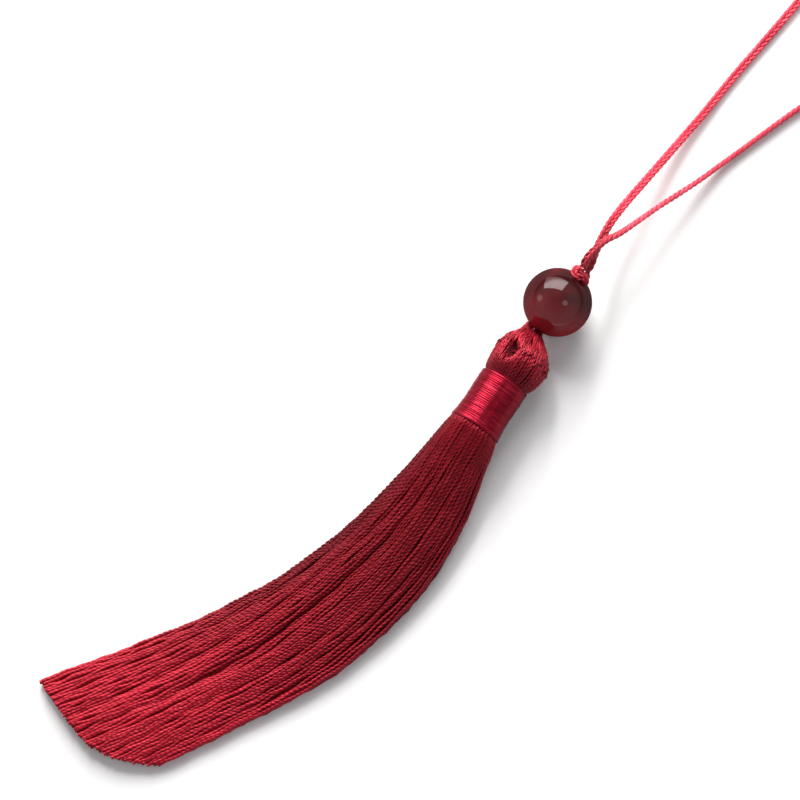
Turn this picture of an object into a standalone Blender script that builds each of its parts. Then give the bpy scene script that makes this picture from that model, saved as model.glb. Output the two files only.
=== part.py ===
"""Tassel of twisted rayon thread with a round stone bead and a hanging loop, lying on a table.

The pieces are drawn in millimetres in a working frame: its origin is on the neck's axis where
the wound binding begins, +Y runs along the neck towards the loop, +Z is up, the table is z = 0.
At the end an empty carries them to where the origin is under the middle of the tassel without
its loop. In Blender's units everything is in metres.
"""
import math
import random

import bmesh
import bpy
from mathutils import Matrix, Vector

# Driving dimensions, in millimetres, angles in degrees
MM = 0.001
GAP = 0.3                      # clearance between pieces that touch in the real tassel
AXIS_HEIGHT = 4.5              # the neck's axis above the table

BINDING_LENGTH = 8.5
HANK_RADIUS = 2.9              # the hank of thread where the binding grips it
BINDING_TURNS = 11             # raised turns, each for three of the fine thread
TURN_RELIEF = 0.09
BINDING_STEPS = 28

STRAND_COLUMNS = 28
STRAND_ROWS = 4
STRAND_FILL = 0.84             # share of its cell that a strand takes
LOCK_COLUMNS = 4               # strands that cling together side by side
LOCK_DRAW = 0.965              # how far they draw in towards each other
SKIRT_LENGTH = 72.3            # along the middle strand, from the binding to the hem
HEM_SLANT = 5.5                # the outer strands go the long way round the bend
HEM_ROUND = 3.4                # and the edge strands fan out
HEM_WAVE = 0.85                # its right half is cut a little longer, its left half shorter
HEM_UNEVEN = 0.35
SKIRT_BEND = 33.0              # the skirt lies curved to the left by this angle
BEND_FROM, BEND_TO = 2.0, 58.0
SKIRT_EDGE_DROP = 0.45         # how much thinner the skirt is at its side edges

BEAD_RADIUS = 5.0
BEAD_FLAT = 0.08               # depth of the small flat that the bead rests on
BEAD_PLACE = Vector((0.05, 13.84, BEAD_RADIUS - BEAD_FLAT))
BORE_RADIUS = 1.3
BORE_MOUTH = 1.75              # radius of the chamfer at the bore's ends
BORE_CHAMFER = 0.45
BORE_AXIS = Vector((0.222, 0.872, 0.436)).normalized()
BEAD_STEPS = 32
BEAD_PROFILE_STEPS = 14

KNOT_OUT = 5.5                 # the knot's middle from the bead's, along the bore
KNOT_SIZE = (1.5, 1.15, 1.3)   # half its size across, along the bore and upright
KNOT_RELIEF = 0.1
KNOT_RINGS, KNOT_SIDES = 12, 18

CORD_RADIUS = 0.6              # the loop's flat braid is 1.3 wide and 0.9 thick
CORD_STEP = 3.0
ROUTE_PARTS = 16

# Sections of the skirt below the binding. along is the distance from its root on the middle
# strand, base the height of its underside, shift a step to the right, and flat goes from 0, a
# round hank, to 1, a flat layer lying on the table.
SKIRT_SECTIONS = (
    # along, width, thick, base, shift, flat
    (0.0, 5.8, 5.8, 1.6, 0.0, 0.00),
    (0.9, 8.3, 7.2, 0.8, 0.1, 0.08),
    (5.0, 10.3, 6.5, 0.2, 0.15, 0.35),
    (12.0, 12.5, 5.3, 0.0, 0.4, 0.70),
    (21.0, 14.6, 4.2, 0.0, 0.5, 1.00),
    (31.0, 15.9, 3.5, 0.0, 0.35, 1.00),
    (42.0, 17.0, 3.0, 0.0, 0.3, 1.00),
    (55.0, 16.9, 2.6, 0.0, 0.0, 1.00),
    (SKIRT_LENGTH, 18.5, 2.3, 0.0, -0.2, 1.00),
)

# Sections of the neck and head, from the skirt's root up to the crown and down into the well
# that the cord goes into. sink lowers a section, shift moves it to the right.
HEAD_SECTIONS = (
    # y, radius, rib, shift, sink
    (0.15, 2.90, 0.00, 0.00, 0.0),
    (0.45, 3.66, 0.05, 0.05, 0.0),
    (1.20, 4.04, 0.10, 0.15, 0.0),
    (2.20, 4.24, 0.14, 0.22, 0.0),
    (3.30, 4.32, 0.16, 0.24, 0.0),
    (4.40, 4.16, 0.16, 0.16, 0.0),
    (5.40, 3.78, 0.16, 0.04, 0.1),
    (6.30, 3.22, 0.14, -0.10, 0.2),
    (7.10, 2.56, 0.11, -0.25, 0.3),
    (7.70, 2.00, 0.06, -0.36, 0.4),
    (8.00, 1.64, 0.00, -0.42, 0.5),
    (7.85, 1.42, 0.00, -0.45, 0.5),
    (6.20, 1.40, 0.00, -0.42, 0.3),
)

# Outside of the binding, from the head down to the skirt
BINDING_SECTIONS = (
    # y, radius
    (0.0, 3.74),
    (-2.0, 3.76),
    (-5.0, 3.69),
    (-7.0, 3.82),
    (-BINDING_LENGTH, 4.02),
)

# Route of the doubled cord from the crown's well to the bead's lower bore mouth, and its size
STEM_SECTIONS = (
    # x, y, z, half width, half thickness
    (-0.42, 6.55, 4.20, 1.05, 0.75),
    (-0.46, 7.45, 3.98, 1.08, 0.78),
    (-0.62, 8.25, 3.45, 1.15, 0.80),
    (-0.84, 8.85, 2.96, 1.20, 0.80),
    (-1.04, 9.45, 2.76, 1.15, 0.78),
)
STEM_BORE_STOPS = (-4.0, -2.0, 0.0, 2.0, 3.95)   # further sections, along the bore from its middle
STEM_BORE_SIZE = (1.0, 0.72)
STEM_SIDES = 12
STEM_WAIST = 0.3               # how deep the groove between the two legs is

# The free loop's route, from the knot out along one leg and back to the knot along the other
LOOP_ROUTE = (
    (1.3, 20.6, 7.6), (1.0, 21.8, 7.6), (0.7, 23.2, 7.3), (0.4, 25.3, 6.8), (0.2, 27.8, 6.1),
    (0.3, 31.4, 5.0), (0.8, 36.7, 3.5), (1.3, 41.8, 2.1), (1.8, 46.5, 1.2), (2.3, 50.9, 0.8),
    (2.7, 55.3, 0.6), (3.2, 60.0, 0.6), (3.8, 64.4, 0.6), (4.4, 69.3, 0.6), (4.9, 73.6, 0.6),
    (5.5, 78.4, 0.6), (6.8, 84.5, 0.6), (9.6, 89.6, 0.6), (13.8, 92.0, 0.6), (18.4, 91.0, 0.6),
    (21.6, 87.3, 0.6), (22.6, 82.0, 0.6), (21.8, 76.0, 0.6), (19.4, 70.2, 0.6), (16.5, 64.8, 0.6),
    (13.7, 59.3, 0.6), (11.4, 53.3, 0.6), (9.8, 48.9, 0.6), (8.5, 45.3, 0.9), (7.3, 41.6, 1.7),
    (6.0, 37.9, 3.0), (4.7, 34.3, 4.4), (3.5, 30.5, 6.0), (2.3, 26.8, 7.6), (1.2, 24.4, 8.7),
    (0.7, 22.2, 9.2), (0.5, 20.9, 9.2), (0.5, 20.3, 9.1),
)


def clear_scene():
    for obj in list(bpy.data.objects):
        bpy.data.objects.remove(obj)


def material(name, colour, roughness):
    finish = bpy.data.materials.new(name)
    finish.use_nodes = True
    shader = finish.node_tree.nodes["Principled BSDF"]
    shader.inputs["Base Color"].default_value = (*colour, 1.0)
    shader.inputs["Roughness"].default_value = roughness
    shader.inputs["Metallic"].default_value = 0.0
    return finish


def add_piece(name, shape, finish, sharp=40.0):
    """Turns a bmesh drawn in millimetres into a named object in metres."""
    bmesh.ops.recalc_face_normals(shape, faces=shape.faces)
    bmesh.ops.scale(shape, vec=(MM, MM, MM), verts=shape.verts)
    mesh = bpy.data.meshes.new(name)
    shape.to_mesh(mesh)
    shape.free()
    mesh.shade_smooth()
    mesh.set_sharp_from_angle(angle=math.radians(sharp))
    mesh.materials.append(finish)
    piece = bpy.data.objects.new(name, mesh)
    bpy.context.collection.objects.link(piece)
    return piece


def blend(low, high, share):
    return low + (high - low) * share


def ease(value):
    """0 below 0, 1 above 1, and a smooth step between."""
    value = min(max(value, 0.0), 1.0)
    return value * value * (3.0 - 2.0 * value)


def table_value(rows, at):
    """Second column of a table whose first column falls, between its rows."""
    for (start, first), (end, second) in zip(rows, rows[1:]):
        if at >= end:
            return blend(first, second, (start - at) / (start - end))
    return rows[-1][1]


def skin(shape, rings):
    """Closes a row of rings of points into a tube with flat ends."""
    loops = [[shape.verts.new(point) for point in ring] for ring in rings]
    count = len(loops[0])
    for first, second in zip(loops, loops[1:]):
        for i in range(count):
            j = (i + 1) % count
            shape.faces.new((first[i], first[j], second[j], second[i]))
    shape.faces.new(loops[0])
    shape.faces.new(loops[-1])


# The skirt: the folded hank, its head as the backing and its cut ends as strands

ROOT_Y = -BINDING_LENGTH - GAP
CORNER = math.radians(90.0) * STRAND_ROWS / (STRAND_COLUMNS + STRAND_ROWS)
CROWN_SPREAD = math.radians(90.0) - CORNER
RING_STEP = 2.0 * math.pi / (2 * (STRAND_COLUMNS + STRAND_ROWS))
SPINE_STEPS = 40


def spine(along):
    """The skirt's middle line that far from its root, and its heading there."""
    step = along / SPINE_STEPS
    x, y, heading = 0.0, ROOT_Y, 0.0
    for i in range(SPINE_STEPS):
        passed = (i + 0.5) * step
        heading = math.radians(SKIRT_BEND) * ease((passed - BEND_FROM) / (BEND_TO - BEND_FROM))
        x -= math.sin(heading) * step
        y -= math.cos(heading) * step
    return x, y, heading


def skirt_point(u, w, section, reach):
    """A point of a strand: u across and w upward, both from -1 to 1, in one section."""
    along, width, thick, base, shift, flat = section
    round_x = math.sin(u * CROWN_SPREAD) * math.cos(w * CORNER) / math.cos(CORNER)
    round_z = math.cos(u * CROWN_SPREAD) * math.sin(w * CORNER) / math.sin(CORNER)
    dome = 1.0 - SKIRT_EDGE_DROP * abs(u) ** 3
    side = shift + blend(round_x, u, flat) * width / 2
    height = base + (1.0 + blend(round_z, (1.0 + w) * dome - 1.0, flat)) * thick / 2
    x, y, heading = spine(along * reach)
    return Vector((x + math.cos(heading) * side, y - math.sin(heading) * side, height))


def draw_in(corners):
    """A cell's corners drawn in, so that its strand stands apart, level on the table below."""
    u_mid = sum(u for u, w in corners) / len(corners)
    w_mid = sum(w for u, w in corners) / len(corners)
    column = int((u_mid + 1.0) * STRAND_COLUMNS / 2)
    lock_mid = (column // LOCK_COLUMNS + 0.5) * LOCK_COLUMNS * 2.0 / STRAND_COLUMNS - 1.0
    drawn = []
    for u, w in corners:
        u = blend(u_mid, u, STRAND_FILL)
        u = blend(lock_mid, u, LOCK_DRAW)
        if w > -1.0:
            w = blend(w_mid, w, STRAND_FILL)
        drawn.append((u, w))
    return drawn


def build_skirt(finish):
    chance = random.Random(7)
    shape = bmesh.new()
    bmesh.ops.create_grid(shape, x_segments=STRAND_COLUMNS, y_segments=STRAND_ROWS, size=1.0)
    cells = [(face, [(vert.co.x, vert.co.y) for vert in face.verts]) for face in shape.faces]
    ring = [edge for edge in shape.edges if edge.is_boundary]
    for vert in shape.verts:
        vert.co = skirt_point(vert.co.x, vert.co.y, SKIRT_SECTIONS[0], 1.0)

    for tip, corners in cells:
        corners = draw_in(corners)
        u = sum(corner[0] for corner in corners) / len(corners)
        length = (SKIRT_LENGTH - HEM_SLANT * u - HEM_ROUND * u * u
                  + HEM_WAVE * math.sin(math.pi * u))
        reach = (length + chance.uniform(-HEM_UNEVEN, HEM_UNEVEN)) / SKIRT_LENGTH
        for section in SKIRT_SECTIONS[1:]:
            tip = bmesh.ops.extrude_discrete_faces(shape, faces=[tip])["faces"][0]
            for vert, (u, w) in zip(tip.verts, corners):
                vert.co = skirt_point(u, w, section, reach)

    centre = Vector((0.0, 0.0, AXIS_HEIGHT))
    for y, radius, rib, shift, sink in HEAD_SECTIONS:
        made = bmesh.ops.extrude_edge_only(shape, edges=ring)["geom"]
        ring = [item for item in made if isinstance(item, bmesh.types.BMEdge)]
        new_centre = Vector((shift, 0.0, AXIS_HEIGHT - sink))
        for vert in (item for item in made if isinstance(item, bmesh.types.BMVert)):
            turn = math.atan2(vert.co.z - centre.z, vert.co.x - centre.x)
            ridge = rib if round(turn / RING_STEP) % 2 else -rib
            out = Vector((math.cos(turn), 0.0, math.sin(turn))) * (radius + ridge)
            vert.co = new_centre + out
            vert.co.y = y
        centre = new_centre
    bmesh.ops.edgeloop_fill(shape, edges=ring)
    return add_piece("skirt", shape, finish, sharp=60.0)


# The binding: thread wound round the neck in close turns

def build_binding(finish):
    shape = bmesh.new()
    turn_length = BINDING_LENGTH / BINDING_TURNS
    profile = [(HANK_RADIUS + GAP, -BINDING_LENGTH), (HANK_RADIUS + GAP, 0.0)]
    for i in range(2 * BINDING_TURNS + 1):
        y = -i * turn_length / 2
        relief = TURN_RELIEF if i % 2 else -TURN_RELIEF
        profile.append((table_value(BINDING_SECTIONS, y) + relief, y))
    points = [shape.verts.new((radius, y, 0.0)) for radius, y in profile]
    edges = [shape.edges.new(pair) for pair in zip(points, points[1:] + points[:1])]
    bmesh.ops.spin(shape, geom=points + edges, cent=(0, 0, 0), axis=(0, 1, 0), dvec=(0, 0, 0),
                   angle=2 * math.pi, steps=BINDING_STEPS, use_merge=True)
    piece = add_piece("binding", shape, finish)
    piece.location = (0.0, 0.0, AXIS_HEIGHT * MM)
    return piece


# The stem: two legs of the cord side by side, through the crown and the bead

def build_stem(finish):
    sections = [(Vector((x, y, z)), half_width, half_thick)
                for x, y, z, half_width, half_thick in STEM_SECTIONS]
    for stop in STEM_BORE_STOPS:
        sections.append((BEAD_PLACE + BORE_AXIS * stop, *STEM_BORE_SIZE))
    shape = bmesh.new()
    rings = []
    for i, (middle, half_width, half_thick) in enumerate(sections):
        before = sections[max(i - 1, 0)][0]
        after = sections[min(i + 1, len(sections) - 1)][0]
        ahead = (after - before).normalized()
        side = ahead.cross(Vector((0, 0, 1))).normalized()
        up = side.cross(ahead)
        ring = []
        for k in range(STEM_SIDES):
            turn = 2 * math.pi * k / STEM_SIDES
            waist = 1.0 - STEM_WAIST * math.sin(turn) ** 6
            ring.append(middle + side * half_width * math.cos(turn)
                        + up * half_thick * waist * math.sin(turn))
        rings.append(ring)
    skin(shape, rings)
    return add_piece("stem", shape, finish)


# The bead: a polished ball with a chamfered bore and a small flat to rest on

def build_bead(finish):
    shape = bmesh.new()
    mouth = math.asin(BORE_MOUTH / BEAD_RADIUS)
    inner = BEAD_RADIUS * math.cos(mouth) - BORE_CHAMFER
    profile = [(BORE_RADIUS, -inner), (BORE_RADIUS, inner)]
    for i in range(BEAD_PROFILE_STEPS + 1):
        turn = blend(mouth, math.pi - mouth, i / BEAD_PROFILE_STEPS)
        profile.append((BEAD_RADIUS * math.sin(turn), BEAD_RADIUS * math.cos(turn)))
    points = [shape.verts.new((radius, 0.0, z)) for radius, z in profile]
    edges = [shape.edges.new(pair) for pair in zip(points, points[1:] + points[:1])]
    bmesh.ops.spin(shape, geom=points + edges, cent=(0, 0, 0), axis=(0, 0, 1), dvec=(0, 0, 0),
                   angle=2 * math.pi, steps=BEAD_STEPS, use_merge=True)
    turned = BORE_AXIS.to_track_quat("Z", "Y").to_matrix()
    bmesh.ops.rotate(shape, cent=(0, 0, 0), matrix=turned, verts=shape.verts)
    everything = shape.verts[:] + shape.edges[:] + shape.faces[:]
    cut = bmesh.ops.bisect_plane(shape, geom=everything, plane_co=(0, 0, -BEAD_PLACE.z),
                                 plane_no=(0, 0, 1), clear_inner=True)["geom_cut"]
    bmesh.ops.edgeloop_fill(shape, edges=[item for item in cut
                                          if isinstance(item, bmesh.types.BMEdge)])
    piece = add_piece("bead", shape, finish, sharp=30.0)
    piece.location = BEAD_PLACE * MM
    return piece


# The knot: the doubled cord tied once on itself, too big for the bore

def build_knot(finish):
    shape = bmesh.new()
    across, along, upright = KNOT_SIZE
    rings = []
    for i in range(KNOT_RINGS):
        lie = math.pi * (i + 0.5) / KNOT_RINGS
        ring = []
        for k in range(KNOT_SIDES):
            turn = 2 * math.pi * k / KNOT_SIDES
            wrap = 1.0 + KNOT_RELIEF * math.cos(2 * turn + 3 * lie)
            ring.append((across * wrap * math.sin(lie) * math.cos(turn),
                         upright * wrap * math.sin(lie) * math.sin(turn),
                         along * math.cos(lie)))
        rings.append(ring)
    skin(shape, rings)
    piece = add_piece("knot", shape, finish, sharp=60.0)
    piece.location = (BEAD_PLACE + BORE_AXIS * KNOT_OUT) * MM
    side = BORE_AXIS.cross(Vector((0, 0, 1))).normalized()
    up = side.cross(BORE_AXIS)
    piece.rotation_euler = Matrix((side, up, BORE_AXIS)).transposed().to_euler()
    return piece


# The loop: the free cord

def smooth_route(points, step):
    """Points a step apart on a smooth curve through the route's points."""
    fine = []
    ends = [points[0]] + list(points) + [points[-1]]
    for a, b, c, d in zip(ends, ends[1:], ends[2:], ends[3:]):
        for i in range(ROUTE_PARTS):
            t = i / ROUTE_PARTS
            fine.append(0.5 * (2 * b + (c - a) * t + (2 * a - 5 * b + 4 * c - d) * t * t
                               + (3 * b - a - 3 * c + d) * t ** 3))
    fine.append(points[-1])
    total = sum((q - p).length for p, q in zip(fine, fine[1:]))
    count = round(total / step)
    spaced, passed = [fine[0]], 0.0
    for p, q in zip(fine, fine[1:]):
        run = (q - p).length
        while len(spaced) < count and passed + run >= len(spaced) * total / count:
            spaced.append(p.lerp(q, (len(spaced) * total / count - passed) / run))
        passed += run
    return spaced + [fine[-1]]


def build_loop(finish):
    route = smooth_route([Vector(point) for point in LOOP_ROUTE], CORD_STEP)
    curve = bpy.data.curves.new("loop", "CURVE")
    curve.dimensions = "3D"
    curve.bevel_depth = CORD_RADIUS * MM
    curve.bevel_resolution = 2
    curve.use_fill_caps = True
    spline = curve.splines.new("POLY")
    spline.points.add(len(route) - 1)
    for slot, point in zip(spline.points, route):
        slot.co = (point.x * MM, point.y * MM, max(point.z, CORD_RADIUS) * MM, 1.0)
    curve.materials.append(finish)
    piece = bpy.data.objects.new("loop", curve)
    bpy.context.collection.objects.link(piece)
    return piece


def stand_on_origin(pieces, measured):
    """Carries all pieces so that the origin is under the middle of the measured ones."""
    bpy.context.view_layer.update()
    corners = [piece.matrix_world @ vert.co for piece in measured for vert in piece.data.vertices]
    middle_x = (min(c.x for c in corners) + max(c.x for c in corners)) / 2
    middle_y = (min(c.y for c in corners) + max(c.y for c in corners)) / 2
    carrier = bpy.data.objects.new("tassel", None)
    bpy.context.collection.objects.link(carrier)
    carrier.location = (-middle_x, -middle_y, 0.0)
    for piece in pieces:
        piece.parent = carrier


clear_scene()
rayon = material("rayon_thread", (0.33, 0.012, 0.030), 0.42)
wound = material("wound_thread", (0.40, 0.014, 0.040), 0.30)
braid = material("braided_cord", (0.45, 0.020, 0.045), 0.40)
agate = material("red_agate", (0.10, 0.006, 0.010), 0.06)

held = [build_skirt(rayon), build_binding(wound), build_stem(braid), build_bead(agate),
        build_knot(braid)]
loop = build_loop(braid)
stand_on_origin(held + [loop], held)
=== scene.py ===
import math
import random

import bpy
from mathutils import Matrix, Vector


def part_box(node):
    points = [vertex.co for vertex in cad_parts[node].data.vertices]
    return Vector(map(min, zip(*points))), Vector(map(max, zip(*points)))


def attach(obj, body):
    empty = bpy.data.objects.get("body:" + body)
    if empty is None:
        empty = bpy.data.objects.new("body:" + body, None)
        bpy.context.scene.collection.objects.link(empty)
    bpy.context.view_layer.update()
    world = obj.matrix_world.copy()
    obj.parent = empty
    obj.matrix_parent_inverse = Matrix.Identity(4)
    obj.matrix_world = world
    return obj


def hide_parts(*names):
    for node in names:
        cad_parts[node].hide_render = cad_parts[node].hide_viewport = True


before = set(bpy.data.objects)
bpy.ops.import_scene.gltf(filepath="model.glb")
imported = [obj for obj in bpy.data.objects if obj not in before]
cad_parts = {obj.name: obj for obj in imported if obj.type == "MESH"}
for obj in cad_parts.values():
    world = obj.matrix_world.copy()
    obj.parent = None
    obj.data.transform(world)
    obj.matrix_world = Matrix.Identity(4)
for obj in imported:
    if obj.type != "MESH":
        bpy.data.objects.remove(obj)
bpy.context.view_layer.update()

# The place on the table. Every piece below is drawn in millimetres from the point under the
# neck's axis where the wound binding begins, with +Y along the neck to the loop and +Z up.

MM = 0.001
binding_low, binding_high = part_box("binding")
NECK = Vector(((binding_low.x + binding_high.x) / 2, binding_high.y, 0.0))


def in_frame(point):
    """A point drawn in millimetres from the neck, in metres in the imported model's frame."""
    return NECK + Vector(point) * MM


# The camera: nearly overhead, tilted a little, with the tassel across the picture's diagonal.
# Its lens and place are fitted to the photo's bead, head, skirt and loop.

LENS = 150.0
SENSOR = 36.0
CLIP_FROM = 0.01
PIXELS = 800                     # across the picture
PIXELS_PER_MM = 6.93             # at the distance of the place aimed at
CAMERA_TILT = math.radians(12.0)
CAMERA_TURN = math.radians(33.15)
AIM = (-11.359, -10.369, 3.0)

right = Vector((math.cos(CAMERA_TURN), math.sin(CAMERA_TURN), 0.0))
away = Vector((-math.sin(CAMERA_TURN), math.cos(CAMERA_TURN), 0.0))
back = Vector((0, 0, 1)) * math.cos(CAMERA_TILT) - away * math.sin(CAMERA_TILT)
up = back.cross(right)
distance = PIXELS / SENSOR * LENS / PIXELS_PER_MM
placed = Matrix((right, up, back)).transposed().to_4x4()
placed.translation = in_frame(AIM) + back * distance * MM

camera_data = bpy.data.cameras.new("camera")
camera_data.lens = LENS
camera_data.sensor_width = SENSOR
camera_data.clip_start = CLIP_FROM
camera = bpy.data.objects.new("camera", camera_data)
camera.matrix_world = placed
bpy.context.collection.objects.link(camera)
bpy.context.scene.camera = camera


# The loop: a flat plait of five rayon strands, the free cord that the tassel hangs by. It comes
# out of the knot, one leg lying on its flat side and the other on its edge, and goes back in.

PLAIT_WIDTH = 1.28
PLAIT_THICKNESS = 0.82
PLAIT_STRANDS = 5
PLAIT_PITCH = 4.8                # length in which a strand crosses over and comes back
STRAND_RADIUS = 0.22
STRAND_SIDES = 10
SHARP_FROM = math.radians(75.0)  # a mesh is smooth over its edges that turn less than this
LOOP_STEP = 0.15
LOOP_LENGTH = 163.0
ROUTE_PARTS = 16                 # short parts that a route is cut into between two of its points
LOOP_ROUTE = (
    # x, y and z of the plait's middle
    (1.3, 20.6, 7.6), (1.0, 21.8, 7.6), (0.7, 23.2, 7.3), (0.4, 25.3, 6.8), (0.2, 27.8, 6.1),
    (0.3, 31.4, 5.0), (0.8, 36.7, 3.5), (1.3, 41.8, 2.1), (1.8, 46.5, 1.2), (2.3, 50.9, 0.8),
    (2.7, 55.3, 0.6), (3.2, 60.0, 0.6), (3.8, 64.4, 0.6), (4.4, 69.3, 0.6), (4.9, 73.6, 0.6),
    (5.5, 78.4, 0.6), (6.8, 84.5, 0.6), (9.6, 89.6, 0.6), (13.8, 92.0, 0.6), (18.4, 91.0, 0.6),
    (21.6, 87.3, 0.6), (22.6, 82.0, 0.6), (21.8, 76.0, 0.6), (19.4, 70.2, 0.6), (16.5, 64.8, 0.6),
    (13.7, 59.3, 0.6), (11.4, 53.3, 0.6), (9.8, 48.9, 0.6), (8.5, 45.3, 0.9), (7.3, 41.6, 1.7),
    (6.0, 37.9, 3.0), (4.7, 34.3, 4.4), (3.5, 30.5, 6.0), (2.3, 26.8, 7.6), (1.2, 24.4, 8.7),
    (0.7, 22.2, 9.2), (0.5, 20.9, 9.2), (0.5, 20.3, 9.1),
)
KNOT_ENDS = ((1.25, 19.3, 7.5), (0.7, 19.4, 8.6))    # the two ends, tucked into the knot
LOOP_ROLL = (
    # share of the length, degrees that the flat side is turned up from lying flat
    (0.00, 35.0), (0.06, 10.0), (0.16, -8.0), (0.28, 14.0), (0.38, -6.0), (0.50, 12.0),
    (0.62, 60.0), (0.72, 96.0), (0.80, 78.0), (0.88, 92.0), (0.95, 60.0), (1.00, 30.0),
)


def blend(low, high, share):
    return low + (high - low) * share


def curve(before, start, end, after, share):
    """A place on a smooth curve from start to end, given its neighbours on either side."""
    return 0.5 * (2 * start + (end - before) * share
                  + (2 * before - 5 * start + 4 * end - after) * share ** 2
                  + (3 * start - before - 3 * end + after) * share ** 3)


def table_row(rows, at, smooth=False):
    """The values of a table at a place in its first column, straight or smooth between rows."""
    if at <= rows[0][0]:
        return rows[0][1:]
    for i, (low, high) in enumerate(zip(rows, rows[1:])):
        if at <= high[0]:
            share = (at - low[0]) / (high[0] - low[0])
            if not smooth:
                return tuple(blend(a, b, share) for a, b in zip(low[1:], high[1:]))
            around = (rows[max(i - 1, 0)], low, high, rows[min(i + 2, len(rows) - 1)])
            return tuple(curve(*column, share) for column in zip(*(row[1:] for row in around)))
    return rows[-1][1:]


def smooth_route(points, step):
    """Points about a step apart on a smooth curve through the route's points."""
    fine = []
    ends = [points[0]] + list(points) + [points[-1]]
    for around in zip(ends, ends[1:], ends[2:], ends[3:]):
        for i in range(ROUTE_PARTS):
            fine.append(curve(*around, i / ROUTE_PARTS))
    fine.append(points[-1])
    total = sum((q - p).length for p, q in zip(fine, fine[1:]))
    count = round(total / step)
    spaced, passed = [fine[0]], 0.0
    for p, q in zip(fine, fine[1:]):
        run = (q - p).length
        while len(spaced) < count and passed + run >= len(spaced) * total / count:
            spaced.append(p.lerp(q, (len(spaced) * total / count - passed) / run))
        passed += run
    return spaced + [fine[-1]]


def heading(route, i):
    return (route[min(i + 1, len(route) - 1)] - route[max(i - 1, 0)]).normalized()


def mesh_piece(name, points, faces, finish, node, sharp_from=SHARP_FROM):
    """Makes a smooth mesh in a node's place, which rides on the tassel's one body."""
    mesh = bpy.data.meshes.new(name)
    mesh.from_pydata([in_frame(point) for point in points], [], faces)
    mesh.shade_smooth()
    mesh.set_sharp_from_angle(angle=sharp_from)
    mesh.materials.append(finish.material)
    made = bpy.data.objects.new(name, mesh)
    bpy.context.collection.objects.link(made)
    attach(made, "root")
    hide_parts(node)
    return made


class Strands:
    """Tubes of thread that go into one mesh, with maps of where each point is on its thread."""

    def __init__(self):
        self.points = []
        self.faces = []
        self.place = []

    def tube(self, route, radius, sides=STRAND_SIDES, plies=0, pitch=1.0, relief=0.0, phase=0.0,
             marks=None, edge=0.0):
        """Adds a tube along a route. radius and relief are one number, or one for each point.

        phase tells the threads apart, and is where its twist starts. marks give the length so
        far at each point, where a line beside the tube measures it. edge is how near the tube
        lies to the left edge of its piece, from 0 to 1.
        """
        radii = radius if isinstance(radius, list) else [radius] * len(route)
        reliefs = relief if isinstance(relief, list) else [relief] * len(route)
        first = len(self.points)
        side = heading(route, 0).orthogonal().normalized()
        passed = 0.0
        turns = [2 * math.pi * k / sides for k in range(sides)]
        for i, middle in enumerate(route):
            ahead = heading(route, i)
            side = (side - ahead * side.dot(ahead)).normalized()
            upward = ahead.cross(side)
            if i:
                passed += (middle - route[i - 1]).length
            mark = marks[i] if marks else passed
            twist = phase + 2 * math.pi * passed / pitch
            for turn in turns:
                groove = 0.5 - 0.5 * math.cos(plies * (turn - twist))
                out = side * math.cos(turn) + upward * math.sin(turn)
                self.points.append(middle + out * radii[i] * (1.0 - 2.0 * reliefs[i] * groove))
                self.place.append((mark, phase, turn, groove, edge))
        for i in range(len(route) - 1):
            row = first + i * sides
            for k in range(sides):
                j = (k + 1) % sides
                self.faces.append((row + k, row + j, row + sides + j, row + sides + k))
        self.faces.append(tuple(range(first + sides - 1, first - 1, -1)))
        self.faces.append(tuple(range(len(self.points) - sides, len(self.points))))

    def piece(self, name, finish, slot, node):
        """Makes the mesh with its maps."""
        made = mesh_piece(name, self.points, self.faces, finish, node)
        for column, label in enumerate(("along", "number", "around", "groove", "edge")):
            values = made.data.attributes.new(label, "FLOAT", "POINT")
            values.data.foreach_set("value", [row[column] for row in self.place])
        return made


def plait(strands, route, rolls, narrow=1.0):
    """Strands plaited flat along a route, the flat side turned by each roll in degrees."""
    reach_side = (PLAIT_WIDTH / 2 - STRAND_RADIUS) * narrow
    reach_up = PLAIT_THICKNESS / 2 - STRAND_RADIUS
    frames, marks = [], [0.0]
    for i, middle in enumerate(route):
        ahead = heading(route, i)
        side = ahead.cross(Vector((0, 0, 1))).normalized()
        side = Matrix.Rotation(math.radians(rolls[i]), 3, ahead) @ side
        if i:
            marks.append(marks[-1] + (middle - route[i - 1]).length)
        frames.append((middle, side, side.cross(ahead)))
    for k in range(PLAIT_STRANDS):
        line = []
        for (middle, side, upward), mark in zip(frames, marks):
            swing = 2 * math.pi * (mark / PLAIT_PITCH + k / PLAIT_STRANDS)
            point = middle + side * reach_side * math.sin(swing) + upward * reach_up * math.sin(2 * swing)
            point.z = max(point.z, STRAND_RADIUS)
            line.append(point)
        strands.tube(line, STRAND_RADIUS, phase=float(k), marks=marks)


class Wire:
    """A socket in a material. Sums written with it add the nodes that work them out."""

    def __init__(self, finish, socket):
        self.finish = finish
        self.socket = socket

    def maths(self, operation, *values):
        return self.finish.node("ShaderNodeMath", {"operation": operation},
                                dict(enumerate(values)))

    def __add__(self, other):
        return self.maths("ADD", self, other)

    def __sub__(self, other):
        return self.maths("SUBTRACT", self, other)

    def __rsub__(self, other):
        return self.maths("SUBTRACT", other, self)

    def __mul__(self, other):
        return self.maths("MULTIPLY", self, other)

    def __truediv__(self, other):
        return self.maths("DIVIDE", self, other)

    def __rtruediv__(self, other):
        return self.maths("DIVIDE", other, self)

    def __abs__(self):
        return self.maths("ABSOLUTE", self)

    def step(self, low, high):
        """0 below low, 1 above high, and a smooth step between."""
        return self.finish.node("ShaderNodeMapRange", {"interpolation_type": "SMOOTHSTEP"},
                                {"Value": self, "From Min": low, "From Max": high})

    __radd__ = __add__
    __rmul__ = __mul__


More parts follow.
